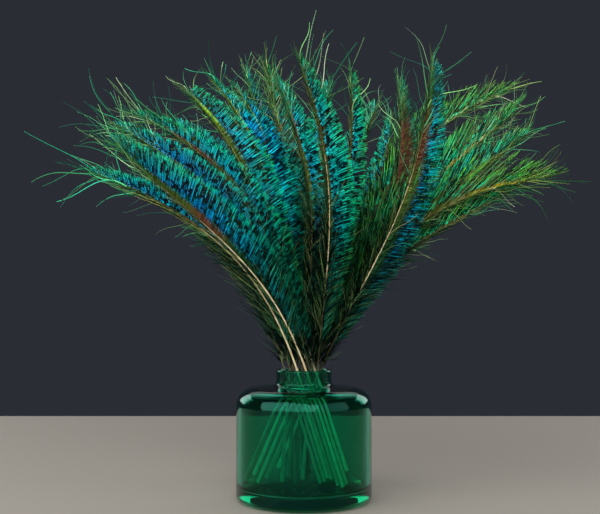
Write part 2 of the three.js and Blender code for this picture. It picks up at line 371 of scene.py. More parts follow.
# The kinds of strand along a feather. start and end are shares of the vane and lists run along that
# stretch. long names the length that reach counts; loose is 0 in the closed vane, 0.5 on its narrow
# side, 1 in hairs; low marks the kinds at the root; zone is the kind's strip of the bake map. A count
# that is a name comes from the feather's row.
strands = {
    "wide": {
        "count": 480, "start": 0.0, "end": 1.0, "side": 1, "loose": 0, "zone": (0.0, 0.4),
        "long": "Vane Length",
        "reach": [0.6, 0.85, 1, 1, 1, 0.95, 0.6], "angle": [24, 46, 62, 67, 65, 48, 9],
        "reachSpread": (0.96, 1.0), "lockTurn": 1.5, "strayTurn": 1.2, "lift": 0.1, "roll": 25,
    },
    "narrow": {
        "count": "Fringe", "start": 0.0, "end": 1.0, "side": -1, "loose": 0.5, "zone": (0.41, 0.56),
        "long": "Vane Length",
        "reach": [1, 1.3, 1.4, 1.4, 1.3, 1.15, 0.9], "angle": [17, 18, 12, 8, 7, 6, 4],
        "reachSpread": (0.75, 1.02), "lockTurn": 2, "strayTurn": 2.5, "lift": 0.32, "roll": 60,
    },
    "wisps": {
        "count": "Hairs", "start": 0.8, "end": 1.0, "side": 0, "loose": 1, "zone": (0.57, 0.66),
        "long": "Wisp Length",
        "reach": [0.95, 1, 1, 1, 1], "angle": [20, 21, 20, 15, 6],
        "reachSpread": (0.5, 1.02), "lockTurn": 4, "strayTurn": 9, "lift": 0.16, "roll": 180,
    },
    "strays": {
        "count": "Strays", "start": 0.35, "end": 0.95, "side": 0, "loose": 1, "zone": (0.67, 0.72),
        "long": "Vane Length",
        "reach": [1.3, 1.4, 1.5, 1.5], "angle": [30, 36, 34, 26],
        "reachSpread": (0.7, 1.1), "lockTurn": 5, "strayTurn": 14, "lift": 0.2, "roll": 180,
    },
    "down": {
        "count": "Downs", "start": -0.08, "end": 0.55, "side": 0, "loose": 0.85, "zone": (0.73, 0.82),
        "long": "Down Length", "low": True,
        "reach": [0.6, 0.9, 1, 0.9], "angle": [12, 22, 30, 34],
        "reachSpread": (0.6, 1.05), "lockTurn": 6, "strayTurn": 8, "lift": 0.45, "roll": 180,
    },
    "fluff": {
        "count": "Fluffs", "start": -0.1, "end": 0.45, "side": 0, "loose": 1, "zone": (0.83, 0.92),
        "long": "Fluff Length", "low": True,
        "reach": [0.8, 1, 1, 0.8], "angle": [9, 15, 20, 25],
        "reachSpread": (0.6, 1.1), "lockTurn": 5, "strayTurn": 7, "lift": 0.5, "roll": 180,
    },
}

growth = {
    "downLength": 24, "fluffLength": 38,
    "twist": 24,  # of the vane, from root to tip
    "locks": 26, "lockReach": (0.96, 1.01),  # locks along one feather, and how their lengths differ
    # The glints on these lines are painted in the barbs' material
    "glintEvery": 4,  # barbs from one glinting line to the next on the same face
    "glintLift": 0.05, "glintBroad": 0.2,  # how far those stand out, and how much broader they are
    "barbSlim": 0.9, "slim": (0.8, 1.2),
    "sweepLonger": 0.8, "sweepRagged": (-1, 0.2),  # what sweep does to the barbs' length
    "taperAt": (0.6, 0.97), "bluntAt": (0.35, 0.65),  # where taper and blunt set in along the vane
    "shortBias": 2.0,  # how strongly a short narrow side sends the low strands to the other
    "stripShare": 0.9,  # how much of its strip of the bake map a strand takes
    "featherSeed": 200.0, "kindSeed": 20,  # steps of the seed
}
bending = {"power": 1.8, "wave": 6, "crimp": 0.12, "crimpWave": 40}


def direction(degrees):
    return np.array((-math.sin(math.radians(degrees)), math.cos(math.radians(degrees))))


# The shaft's route in X and Z, in metres, and the share of it where the barbs begin
def shaftRoute(feather, bunch, cutHeight):
    neck = np.array((feather["slot"], fan["waist"]), float)
    tip = np.array(feather["tip"], float)
    out = direction(bunch["lean"])
    handle = np.linalg.norm(tip - neck) * fan["bendShare"]
    foot = neck + out * (cutHeight - fan["waist"]) / out[1]
    bendStart = neck + out * handle
    bendEnd = tip - direction(feather["heading"]) * handle
    t = np.linspace(0, 1, fan["routeSteps"] + 1)[:, None]
    bend = (1 - t) ** 3 * neck + 3 * t * (1 - t) ** 2 * bendStart
    bend = bend + 3 * t * t * (1 - t) * bendEnd + t ** 3 * tip
    route = np.vstack((foot, bend))
    steps = np.linalg.norm(np.diff(route, axis=0), axis=1)
    return route * mm, (steps[0] + fan["bareQuill"]) / steps.sum()


# How far a strand's middle bends aside at x
def curl(x, bend, wave):
    return bend * x ** bending["power"] + wave * math.sin(bending["wave"] * x)


# A strand one unit long on X: a closed band at the root, then slanting barbules on both sides.
# Widths and bends are in millimetres across it.
def strandMesh(name, teeth, root, halfWidth, fade, slant, bend, lift, wave=0.0):
    points, faces, run, side = [], [], [], []

    def put(x, offset):
        crimp = bending["crimp"] * mm * math.sin(bending["crimpWave"] * x + offset)
        points.append((x, lift * x * x * mm + crimp, (curl(x, bend, wave) + offset) * mm))
        run.append(min(x, 1))
        side.append(0.5 + 0.5 * offset / halfWidth)
        return len(points) - 1

    rails = [(put(x, -halfWidth), put(x, 0), put(x, halfWidth)) for x in (0, root / 2, root)]
    for low, high in zip(rails, rails[1:]):
        faces.append((low[0], low[1], high[1], high[0]))
        faces.append((low[1], low[2], high[2], high[1]))
    middle = rails[-1][1]
    step = (1 - root) / teeth
    for i in range(teeth):
        x = root + step * i
        width = halfWidth * (1 - fade * (i + 1) / teeth)
        following = put(x + step, 0)
        left = put(x + slant * step, width)
        right = put(x + slant * step, -width)
        faces.append((middle, following, left))
        faces.append((following, middle, right))
        middle = following
    return markedMesh(name, points, faces, run, side)


# A single hair one unit long on X: a thin tube of three sides, or a ribbon of one
def hairMesh(name, steps, sides, halfWidth, fade, bend, lift, wave):
    points, faces, run, side = [], [], [], []
    for i in range(steps + 1):
        x = i / steps
        width = halfWidth * (1 - fade * x)
        middle = curl(x, bend, wave)
        for j in range(sides + 1):
            turn = 2 * math.pi * j / max(sides, 2)
            y = lift * x * x + width * math.sin(turn)
            z = middle + width * math.cos(turn)
            points.append((x, y * mm, z * mm))
            run.append(x)
            side.append(j / sides)
    ring = sides + 1
    for i in range(steps):
        for j in range(sides):
            low = i * ring + j
            faces.append((low, low + 1, low + ring + 1, low + ring))
    return markedMesh(name, points, faces, run, side)


def markedMesh(name, points, faces, run, side):
    mesh = bpy.data.meshes.new(name)
    mesh.from_pydata(points, [], faces)
    for key, values in (("barbRun", run), ("barbSide", side)):
        mesh.attributes.new(key, "FLOAT", "POINT").data.foreach_set("value", values)
    return mesh


wispShape = dict(steps=12, sides=3, fade=0.6)
strayShape = dict(steps=8, sides=3, fade=0.6)
downShape = dict(teeth=7, root=0.3, fade=0.6)
fluffShape = dict(steps=8, sides=1, fade=0.6)
strandShapes = {
    "wide": [
        dict(teeth=9, root=0.2, halfWidth=0.54, fade=0.25, slant=2.2, bend=-1.2, lift=1.2),
        dict(teeth=9, root=0.18, halfWidth=0.5, fade=0.3, slant=2.4, bend=-1.6, lift=-1.2),
        dict(teeth=10, root=0.2, halfWidth=0.54, fade=0.25, slant=2.0, bend=-1.0, lift=1.8),
        dict(teeth=9, root=0.2, halfWidth=0.5, fade=0.3, slant=2.6, bend=-1.8, lift=-1.8),
    ],
    "narrow": [
        dict(teeth=8, root=0.15, halfWidth=0.36, fade=0.5, slant=2.0, bend=-0.5, lift=0.8),
        dict(teeth=8, root=0.12, halfWidth=0.32, fade=0.55, slant=2.2, bend=0.8, lift=-0.8),
        dict(teeth=8, root=0.15, halfWidth=0.36, fade=0.55, slant=2.2, bend=-1.4, lift=1.4),
    ],
    "wisps": [
        dict(wispShape, halfWidth=0.42, bend=9, lift=2, wave=1.4),
        dict(wispShape, halfWidth=0.36, bend=-12, lift=-3, wave=1.6),
        dict(wispShape, halfWidth=0.38, bend=17, lift=-2, wave=-1.4),
        dict(wispShape, halfWidth=0.42, bend=-6, lift=4, wave=2.0),
        dict(wispShape, halfWidth=0.34, bend=-20, lift=2, wave=-1.6),
    ],
    "strays": [
        dict(strayShape, halfWidth=0.22, bend=5, lift=2, wave=0.8),
        dict(strayShape, halfWidth=0.2, bend=-6, lift=-3, wave=1.0),
    ],
    "down": [
        dict(downShape, halfWidth=1.1, slant=2.4, bend=3, lift=3, wave=0.6),
        dict(downShape, halfWidth=1.0, slant=2.6, bend=-2, lift=-4, wave=0.8),
        dict(downShape, halfWidth=0.9, slant=2.4, bend=5, lift=-3, wave=-0.8),
    ],
    "fluff": [
        dict(fluffShape, halfWidth=0.24, bend=4, lift=4, wave=0.8),
        dict(fluffShape, halfWidth=0.2, bend=-4, lift=-5, wave=1.0),
        dict(fluffShape, halfWidth=0.24, bend=8, lift=-3, wave=-1.0),
        dict(fluffShape, halfWidth=0.2, bend=-7, lift=5, wave=0.6),
    ],
}


def strandCollection(kind):
    group = bpy.data.collections.new(kind)
    scene.collection.children.link(group)
    for i, shape in enumerate(strandShapes[kind]):
        make = hairMesh if "sides" in shape else strandMesh
        name = f"{kind}{i}"
        group.objects.link(bpy.data.objects.new(name, make(name, **shape)))
    return group


def stored(tree, geometry, name, value, domain="POINT", kind="FLOAT"):
    inputs = {"Geometry": geometry, "Name": name, "Value": value}
    node = addNode(tree, "GeometryNodeStoreNamedAttribute", inputs, data_type=kind, domain=domain)
    return node.outputs["Geometry"]


def named(tree, name):
    node = addNode(tree, "GeometryNodeInputNamedAttribute", {"Name": name}, data_type="FLOAT")
    return node.outputs["Attribute"]


def randomFloat(tree, low, high, index, seed):
    inputs = {2: low, 3: high, "ID": index, "Seed": seed}
    return addNode(tree, "FunctionNodeRandomValue", inputs, data_type="FLOAT").outputs[1]


# Swept barbs are longer, so the vane keeps its width, and more ragged. Towards the tip they get
# shorter, or stay turned out where the tip is blunt.
def shapeWide(tree, inputs, quillRun, angle, reach, ragged):
    sweep = inputs["Sweep"]
    angle = calc(tree, "MULTIPLY", angle, sweep)
    reach = calc(tree, "DIVIDE", reach, calc(tree, "POWER", sweep, growth["sweepLonger"]))
    ragged = calc(tree, "MULTIPLY", calc(tree, "SUBTRACT", 1.0, sweep), ragged)
    reach = calc(tree, "MULTIPLY_ADD", reach, ragged, reach)
    towardsTip = mapped(tree, quillRun, *growth["taperAt"], 0, 1, smooth=True)
    shorter = calc(tree, "MULTIPLY", calc(tree, "SUBTRACT", inputs["Taper"], 1.0), towardsTip)
    reach = calc(tree, "MULTIPLY_ADD", reach, shorter, reach)
    upperHalf = mapped(tree, quillRun, *growth["bluntAt"], 0, 1, smooth=True)
    least = calc(tree, "MULTIPLY", inputs["Blunt"], upperHalf)
    return calc(tree, "MAXIMUM", angle, least), reach


# One kind of strand along the shaft
def addStrands(tree, shaft, inputs, kind, group, material, salt):
    facts = strands[kind]
    index = addNode(tree, "GeometryNodeInputIndex").outputs[0]
    seed = calc(tree, "ADD", inputs["Seed"], salt)

    def draw(low, high, nth):
        return randomFloat(tree, low, high, index, calc(tree, "ADD", seed, nth))

    vaneStart = inputs["Vane Start"]
    barbed = calc(tree, "SUBTRACT", 1.0, vaneStart)
    start = calc(tree, "MULTIPLY_ADD", barbed, facts["start"], vaneStart)
    end = calc(tree, "MULTIPLY_ADD", barbed, facts["end"], vaneStart)
    part = addNode(tree, "GeometryNodeTrimCurve", {"Curve": shaft, "Start": start, "End": end},
                   mode="FACTOR")
    count = facts["count"]
    if isinstance(count, str):
        count = inputs[count]
    spread = addNode(tree, "GeometryNodeCurveToPoints", {"Curve": part.outputs[0], "Count": count},
                     mode="COUNT")
    share = calc(tree, "DIVIDE", index, calc(tree, "SUBTRACT", count, 1.0))
    quillRun = mapped(tree, share, 0, 1, facts["start"], facts["end"])
    strokeAt = calc(tree, "DIVIDE", index, growth["glintEvery"])

    # Neighbours lean together in locks
    lockPlace = calc(tree, "MULTIPLY_ADD", quillRun, growth["locks"], seed)
    lock = addNode(tree, "ShaderNodeTexNoise", {"W": lockPlace, "Scale": 1.0, "Detail": 2.0},
                   noise_dimensions="1D").outputs[0]
    lockTurn = mapped(tree, lock, *noiseRange, -facts["lockTurn"], facts["lockTurn"])
    lockReach = mapped(tree, lock, *noiseRange, *growth["lockReach"])

    stray = draw(-facts["strayTurn"], facts["strayTurn"], 1)
    angle = listCurve(tree, share, facts["angle"])
    reach = calc(tree, "MULTIPLY", listCurve(tree, share, facts["reach"]), inputs[facts["long"]])
    if kind == "wide":
        angle, reach = shapeWide(tree, inputs, quillRun, angle, reach, draw(*growth["sweepRagged"], 9))
    if kind == "narrow":
        reach = calc(tree, "MULTIPLY", reach, inputs["Narrow"])
    if kind == "wisps":
        angle = calc(tree, "ADD", angle, inputs["Wisp Turn"])
    angle = calc(tree, "RADIANS", calc(tree, "ADD", angle, calc(tree, "ADD", lockTurn, stray)))
    reach = calc(tree, "MULTIPLY", reach, lockReach)
    reach = calc(tree, "MULTIPLY", reach, draw(*facts["reachSpread"], 2))

    if facts["side"]:
        side = calc(tree, "MULTIPLY", inputs["Wide Side"], facts["side"])
    else:
        pick = draw(-1, 1, 3)
        if "low" in facts:  # where the narrow side is short, the low strands stand on the wide one
            short = calc(tree, "SUBTRACT", 1.0, inputs["Narrow"])
            pick = calc(tree, "MULTIPLY_ADD", short, growth["shortBias"], pick)
        if kind == "wisps":
            pick = calc(tree, "ADD", pick, inputs["Wisp Side"])
        side = calc(tree, "MULTIPLY", calc(tree, "SIGN", pick), inputs["Wide Side"])

    # The way each strand points, and how it rolls about itself
    tangent = spread.outputs["Tangent"]
    toBack = (0.0, 1.0, 0.0)
    across = scaled(tree, vectorCalc(tree, "CROSS_PRODUCT", toBack, tangent), side)
    twist = calc(tree, "TANGENT", calc(tree, "MULTIPLY", quillRun, math.radians(growth["twist"])))
    twist = calc(tree, "MULTIPLY", twist, calc(tree, "MULTIPLY", inputs["Turn"], facts["side"]))
    sine = calc(tree, "SINE", angle)
    lift = calc(tree, "MULTIPLY_ADD", twist, sine, draw(-facts["lift"], facts["lift"], 4))
    if "low" in facts:
        lift = calc(tree, "ADD", lift, inputs["Behind"])
    slim = draw(*growth["slim"], 8)
    if kind == "wisps":
        slim = calc(tree, "MULTIPLY", slim, inputs["Thick"])
    if kind == "wide":  # glinting barbs are broad and stand out, in turn to the front and the back
        wave = calc(tree, "COSINE", calc(tree, "MULTIPLY", strokeAt, 2 * math.pi))
        lift = calc(tree, "MULTIPLY_ADD", wave, -growth["glintLift"], lift)
        glints = calc(tree, "ABSOLUTE", wave)
        broad = calc(tree, "MULTIPLY_ADD", glints, growth["glintBroad"], growth["barbSlim"])
        slim = calc(tree, "MULTIPLY", slim, broad)
    along = scaled(tree, tangent, calc(tree, "COSINE", angle))
    heading = vectorCalc(tree, "ADD", along, scaled(tree, across, sine))
    lifted = vectorOf(tree, Y=lift)
    heading = vectorCalc(tree, "ADD", heading, lifted)
    second = vectorOf(tree, Y=side)
    turn = addNode(tree, "FunctionNodeAxesToRotation", {"Primary Axis": heading, "Secondary Axis": second},
                   primary_axis="X", secondary_axis="Y")
    roll = math.radians(facts["roll"])
    rolled = addNode(tree, "FunctionNodeAxisAngleToRotation",
                     {"Axis": (1, 0, 0), "Angle": draw(-roll, roll, 5)})
    turn = addNode(tree, "FunctionNodeRotateRotation",
                   {"Rotation": turn.outputs[0], "Rotate By": rolled.outputs[0]}, rotation_space="LOCAL")

    marks = {"quillRun": quillRun, "tint": draw(0, 1, 6), "strokeAt": strokeAt,
             "strand": calc(tree, "DIVIDE", index, count)}
    points = spread.outputs["Points"]
    for name, value in marks.items():
        points = stored(tree, points, name, value)
    shapes = addNode(tree, "GeometryNodeCollectionInfo",
                     {"Collection": group, "Separate Children": True, "Reset Children": True})
    lastShape = len(strandShapes[kind]) - 1
    chosen = addNode(tree, "FunctionNodeRandomValue",
                     {4: 0, 5: lastShape, "ID": index, "Seed": calc(tree, "ADD", seed, 7)}, data_type="INT")
    size = vectorOf(tree, X=reach, Y=slim, Z=slim)
    grown = addNode(tree, "GeometryNodeInstanceOnPoints",
                    {"Points": points, "Instance": shapes.outputs[0], "Pick Instance": True,
                     "Instance Index": chosen.outputs[2], "Rotation": turn.outputs[0], "Scale": size})
    solid = addNode(tree, "GeometryNodeRealizeInstances", {"Geometry": grown.outputs[0]}).outputs[0]
    solid = stored(tree, solid, "loose", facts["loose"])
    low, high = facts["zone"]
    width = calc(tree, "DIVIDE", growth["stripShare"], count)
    mapU = calc(tree, "MULTIPLY_ADD", named(tree, "barbSide"), width, named(tree, "strand"))
    mapV = calc(tree, "MULTIPLY_ADD", named(tree, "barbRun"), high - low, low)
    bakeMap = vectorOf(tree, X=mapU, Y=mapV)
    solid = stored(tree, solid, "OFBake", bakeMap, "CORNER", "FLOAT2")
    return addNode(tree, "GeometryNodeSetMaterial", {"Geometry": solid, "Material": material}).outputs[0]


# The round tapering shaft
def addQuill(tree, shaft, material):
    even = addNode(tree, "GeometryNodeResampleCurve", {"Curve": shaft, "Count": quill["rings"]})
    run = addNode(tree, "GeometryNodeSplineParameter").outputs["Factor"]
    line = stored(tree, even.outputs[0], "shaftRun", run)
    ring = addNode(tree, "GeometryNodeCurvePrimitiveCircle", {"Resolution": quill["sides"], "Radius": 1.0})
    ringRun = addNode(tree, "GeometryNodeSplineParameter").outputs["Factor"]
    circle = stored(tree, ring.outputs[0], "ringRun", ringRun)
    thick = calc(tree, "MULTIPLY", listCurve(tree, run, quill["taper"]), quill["radius"] * mm)
    tube = addNode(tree, "GeometryNodeCurveToMesh",
                   {"Curve": line, "Profile Curve": circle, "Scale": thick, "Fill Caps": True}).outputs[0]
    low, high = quill["zone"]
    mapV = calc(tree, "MULTIPLY_ADD", named(tree, "ringRun"), high - low, low)
    bakeMap = vectorOf(tree, X=named(tree, "shaftRun"), Y=mapV)
    tube = stored(tree, tube, "OFBake", bakeMap, "CORNER", "FLOAT2")
    tube = addNode(tree, "GeometryNodeSetShadeSmooth", {0: tube}).outputs[0]
    return addNode(tree, "GeometryNodeSetMaterial", {"Geometry": tube, "Material": material}).outputs[0]


# The fan opens in depth: every point moves to its feather's leaf-like surface
def addDepth(tree, geometry, inputs):
    position = addNode(tree, "GeometryNodeInputPosition").outputs[0]
    place = addNode(tree, "ShaderNodeSeparateXYZ", {0: position}).outputs
    climb = calc(tree, "MAXIMUM", calc(tree, "SUBTRACT", place["Z"], fan["waist"] * mm), 0.0)
    sideways = calc(tree, "DIVIDE", calc(tree, "MULTIPLY", place["X"], climb),
                    calc(tree, "ADD", climb, fan["soften"] * mm))
    square = calc(tree, "MULTIPLY_ADD", climb, climb, calc(tree, "MULTIPLY", sideways, sideways))
    share = calc(tree, "DIVIDE", calc(tree, "SQRT", square), fan["reach"] * mm)
    share = calc(tree, "POWER", share, fan["flare"])
    span = calc(tree, "SUBTRACT", inputs["Tip Depth"], inputs["Neck Depth"])
    depth = calc(tree, "MULTIPLY_ADD", span, share, inputs["Neck Depth"])
    offset = vectorOf(tree, Y=depth)
    return addNode(tree, "GeometryNodeSetPosition", {"Geometry": geometry, "Offset": offset}).outputs[0]


# The rows' looks as inputs of the tree: habits shape the feather, and finish goes on to the materials
habits = {"hairs": "Hairs", "thick": "Thick", "wispSide": "Wisp Side", "wispTurn": "Wisp Turn",
          "strays": "Strays", "sweep": "Sweep", "taper": "Taper", "blunt": "Blunt", "narrow": "Narrow",
          "fringe": "Fringe", "downs": "Downs", "fluffs": "Fluffs", "behind": "Behind"}
finish = {"band": "Band", "bandWidth": "Band Width", "bandFrom": "Band From", "bandTop": "Band Top",
          "cool": "Cool", "gold": "Gold", "shade": "Painted Light", "paleFrom": "Pale From", "paleTo": "Pale To",
          "cutLight": "Cut Painted Light"}


def featherTree(groups, barbSkin, quillSkin):
    tree = bpy.data.node_groups.new("feather", "GeometryNodeTree")
    tree.interface.new_socket("Geometry", in_out="INPUT", socket_type="NodeSocketGeometry")
    for name in ("Vane Start", "Vane Length", "Wisp Length", "Down Length", "Fluff Length", "Wide Side",
                 "Turn", "Neck Depth", "Tip Depth", "Seed", *habits.values(), *finish.values()):
        tree.interface.new_socket(name, in_out="INPUT", socket_type="NodeSocketFloat")
    tree.interface.new_socket("Geometry", in_out="OUTPUT", socket_type="NodeSocketGeometry")
    inputs = addNode(tree, "NodeGroupInput").outputs
    shaft = addNode(tree, "GeometryNodeMeshToCurve", {0: inputs["Geometry"]}).outputs[0]
    joined = addNode(tree, "GeometryNodeJoinGeometry")
    tree.links.new(addQuill(tree, shaft, quillSkin), joined.inputs[0])
    for i, (kind, group) in enumerate(groups.items()):
        made = addStrands(tree, shaft, inputs, kind, group, barbSkin, i * growth["kindSeed"])
        tree.links.new(made, joined.inputs[0])
    whole = addDepth(tree, joined.outputs[0], inputs)
    for key, name in finish.items():
        whole = stored(tree, whole, key, inputs[name])
    addNode(tree, "NodeGroupOutput", {"Geometry": whole})
    return tree


def attribute(tree, name):
    return addNode(tree, "ShaderNodeAttribute", attribute_name=name).outputs["Fac"]


def placeNoise(tree, scale):
    place = addNode(tree, "ShaderNodeTexCoord").outputs["Object"]
    return addNode(tree, "ShaderNodeTexNoise", {"Vector": place, "Scale": scale, "Detail": 3.0}).outputs[0]


# Colours run with the hue, with the way up the vane or with a strand's chance tint. Names ending in At
# are stretches of a barb or of the vane, those ending in Loose tell the kinds of strand apart.
barbs = {
    "ground": [(0.0, "#020818"), (0.3, "#021020"), (0.6, "#021416"), (0.85, "#03120c"), (1.0, "#051008")],
    # ground is the dark colour between the painted glints, line the colour of the painted glints
    "line": [(0.0, "#1474f0"), (0.26, "#04a6f8"), (0.46, "#04e0ee"), (0.64, "#0cf0ca"), (0.84, "#1ee090"),
             (1.0, "#70dc48")],
    "patchScale": 30.0, "patchNoise": (0.25, 0.75), "patchHue": 0.13,
    "shaftHue": 0.62, "edgeHue": 0.34, "coolHue": -0.5,
    "tipAt": (0.82, 1.0), "tipHue": 0.07, "rootAt": (0.25, 0.5), "rootHue": 0.12,
    # Painted glints: the edge and stroke values place the painted highlights, the glint values their
    # patches and how bright they are painted
    "edgeAt": (0.8, 0.98), "edgeGlint": 0.65, "glintStep": 0.9, "glintShift": 6.0, "glintScale": 2.2,
    "glintRough": 0.6, "glintNoise": (0.445, 0.575), "glintLight": 1.6,
    # Painted shade: the painted glints fade towards the vane's root, where the fan lies in shade; the vane
    # is also darker by the shaft
    "lightAt": (0.25, 0.78), "rootShade": 0.17, "shaftAt": (0, 0.5), "shaftLight": 0.55,
    "ownBand": [(0.0, "#39471b"), (0.25, "#4a501d"), (0.5, "#603c2a"), (0.75, "#a8901c"), (1.0, "#8cb81c")],
    "usualBand": [(0.22, "#04100a"), (0.42, "#1c4020"), (0.6, "#44521f"), (0.9, "#38561e")],
    "bandSoft": 0.05, "bandGlint": (0.6, 1.2), "bandRagged": 0.06, "bandEdge": (0.6, 1.4),
    "narrow": [(0.0, "#030c06"), (0.45, "#0a2212"), (0.75, "#36542a"), (1.0, "#969650")],
    "green": [(0.0, "#0a6a4c"), (0.4, "#26b488"), (0.8, "#5cb46a"), (1.0, "#7c9a80")],
    "golden": [(0.0, "#123a1c"), (0.35, "#3f7a38"), (0.75, "#848a3c"), (1.0, "#8c8a66")],
    # down: near-black, partly painted shade
    "down": [(0.0, "#020403"), (0.7, "#050a07"), (1.0, "#0c1a12")],
    "fluff": [(0.0, "#050e0a"), (0.5, "#0a2016"), (0.75, "#24583e"), (0.92, "#5a7442"), (1.0, "#a49c70")],
    # low: dark colours at the vane's root, painted shade
    "low": [(0.0, "#020806"), (0.5, "#051c14"), (0.8, "#126a4a"), (1.0, "#5a8a50")],
    "narrowLoose": (0, 0.5), "hairLoose": (0.5, 0.8), "fluffLoose": (0.86, 0.99),
    "hairAt": (0.4, 0.75), "lowAt": (0.08, 0.4), "lowShare": 0.5,
    "goldTint": (0.55, 0.7), "goldRange": (0.4, 0.9), "goldShare": 0.8, "goldAt": (0.45, 0.8),
    "wispAt": (0.84, 1.0), "wispShare": 0.35, "tintLight": (0.75, 1.25),
    "roughness": (0.3, 0.46), "metallic": 0.5, "specular": 0.05, "shine": (0.2, 0.9, 0.95, 1),
}


# Painted glints: every second barb gets a painted highlight line, in turn for the front and the back, and
# all get a painted highlight at the edge
def paintGlints(tree, run, strokeAt):
    barbStep = 1 / growth["glintEvery"]
    line = mapped(tree, calc(tree, "PINGPONG", strokeAt, barbStep), 0, barbStep, 1, 0)
    return calc(tree, "MAXIMUM", line, mapped(tree, run, *barbs["edgeAt"], 0, barbs["edgeGlint"]))


# Blue by the shaft to green at the edge, greener at the root and the tip, in patches. Painted glints over a
# dark ground, with painted shade towards the vane's root, painted light and shade per feather, and darker
# by the shaft
def vaneTone(tree, run, up, patch, strokeAt, paintedGlints):
    b = barbs
    hue = calc(tree, "MULTIPLY_ADD", calc(tree, "POWER", run, 2.0), b["edgeHue"], b["shaftHue"])
    hue = calc(tree, "MULTIPLY_ADD", attribute(tree, "cool"), b["coolHue"], hue)
    hue = calc(tree, "ADD", hue, mapped(tree, patch, *b["patchNoise"], -b["patchHue"], b["patchHue"]))
    hue = calc(tree, "ADD", hue, mapped(tree, up, *b["tipAt"], 0, b["tipHue"]))
    hue = calc(tree, "ADD", hue, mapped(tree, up, *b["rootAt"], b["rootHue"], 0))
    shift = calc(tree, "MULTIPLY", patch, b["glintShift"])
    lockAt = calc(tree, "MULTIPLY_ADD", calc(tree, "FLOOR", strokeAt), b["glintStep"], shift)
    outwards = calc(tree, "MULTIPLY", run, b["glintScale"])
    glintPlace = vectorOf(tree, X=lockAt, Y=outwards)
    glint = addNode(tree, "ShaderNodeTexNoise",
                    {"Vector": glintPlace, "Scale": 1.0, "Detail": 2.0, "Roughness": b["glintRough"]},
                    noise_dimensions="2D").outputs[0]
    paintedGlow = calc(tree, "MULTIPLY", paintedGlints, mapped(tree, glint, *b["glintNoise"], 0.0, b["glintLight"]))
    paintedGlow = calc(tree, "MULTIPLY", paintedGlow, mapped(tree, up, *b["lightAt"], b["rootShade"], 1, smooth=True))
    paintedGlow = calc(tree, "MULTIPLY", paintedGlow, mapped(tree, run, *b["shaftAt"], b["shaftLight"], 1))
    # Painted light and shade of each feather
    paintedGlow = calc(tree, "MULTIPLY", paintedGlow, attribute(tree, "shade"))
    return mixed(tree, paintedGlow, ramp(tree, hue, b["ground"]), ramp(tree, hue, b["line"]))


# The tight band beside the shaft: dark, then green, with a patch of olive, copper, gold or lime
def bandOver(tree, vane, run, up, patch, paintedGlints):
    b = barbs
    soft = b["bandSoft"]
    own = ramp(tree, attribute(tree, "band"), b["ownBand"])
    usual = ramp(tree, up, b["usualBand"])
    pastStart = calc(tree, "SUBTRACT", up, attribute(tree, "bandFrom"))
    pastEnd = calc(tree, "SUBTRACT", up, attribute(tree, "bandTop"))
    inPatch = calc(tree, "MULTIPLY", mapped(tree, pastStart, -soft, soft, 0, 1, smooth=True),
                   mapped(tree, pastEnd, -soft, soft, 1, 0, smooth=True))
    # Painted highlight: the band is painted lighter on the barbs with painted glints
    tone = scaled(tree, mixed(tree, inPatch, usual, own), mapped(tree, paintedGlints, 0, 1, *b["bandGlint"]))
    ragged = mapped(tree, patch, *b["patchNoise"], -b["bandRagged"], b["bandRagged"])
    across = calc(tree, "DIVIDE", calc(tree, "ADD", run, ragged), attribute(tree, "bandWidth"))
    return mixed(tree, mapped(tree, across, *b["bandEdge"], 1, 0, smooth=True), vane, tone)


def barbMaterial():
    b = barbs
    material, shader = newMaterial("barbs")
    tree = material.node_tree
    run = attribute(tree, "barbRun")
    up = attribute(tree, "quillRun")
    tint = attribute(tree, "tint")
    loose = attribute(tree, "loose")
    gold = attribute(tree, "gold")
    strokeAt = attribute(tree, "strokeAt")
    patch = placeNoise(tree, b["patchScale"])
    paintedGlints = paintGlints(tree, run, strokeAt)
    tone = vaneTone(tree, run, up, patch, strokeAt, paintedGlints)
    tone = bandOver(tree, tone, run, up, patch, paintedGlints)

    # The narrow side is dark green, with olive strands among it
    tone = mixed(tree, mapped(tree, loose, *b["narrowLoose"], 0, 1), tone, ramp(tree, tint, b["narrow"]))

    # Hair-like strands: down low on the feather, its black partly painted shade, green or olive wisps at
    # the tip
    wisp = mixed(tree, gold, ramp(tree, tint, b["green"]), ramp(tree, tint, b["golden"]))
    dark = mixed(tree, mapped(tree, loose, *b["fluffLoose"], 0, 1),
                 ramp(tree, tint, b["down"]), ramp(tree, tint, b["fluff"]))
    hair = mixed(tree, mapped(tree, up, *b["hairAt"], 0, 1), dark, wisp)
    tone = mixed(tree, mapped(tree, loose, *b["hairLoose"], 0, 1), tone, hair)

    # Painted shade: at the root the vane is painted dark, with green barbs among it
    lowShare = calc(tree, "MULTIPLY", mapped(tree, up, *b["lowAt"], b["lowShare"], 0, smooth=True),
                    mapped(tree, loose, *b["hairLoose"], 1, 0))
    tone = mixed(tree, lowShare, tone, ramp(tree, tint, b["low"]))

    # Strands in the wisps' colour, in golden feathers and towards every tip
    goldShare = calc(tree, "MULTIPLY", mapped(tree, tint, *b["goldTint"], 0, 1),
                     mapped(tree, gold, *b["goldRange"], 0, b["goldShare"]))
    goldShare = calc(tree, "MULTIPLY", goldShare, mapped(tree, up, *b["goldAt"], 0, 1))
    wispShare = mapped(tree, up, *b["wispAt"], 0, b["wispShare"], smooth=True)
    tone = mixed(tree, calc(tree, "MAXIMUM", goldShare, wispShare), tone, wisp)

    tone = scaled(tree, tone, mapped(tree, tint, 0, 1, *b["tintLight"]))
    tree.links.new(tone, shader.inputs["Base Color"])
    tree.links.new(mapped(tree, patch, *noiseRange, *b["roughness"]), shader.inputs["Roughness"])
    shader.inputs["Metallic"].default_value = b["metallic"]
    shader.inputs["Specular IOR Level"].default_value = b["specular"]
    shader.inputs["Specular Tint"].default_value = b["shine"]
    return material


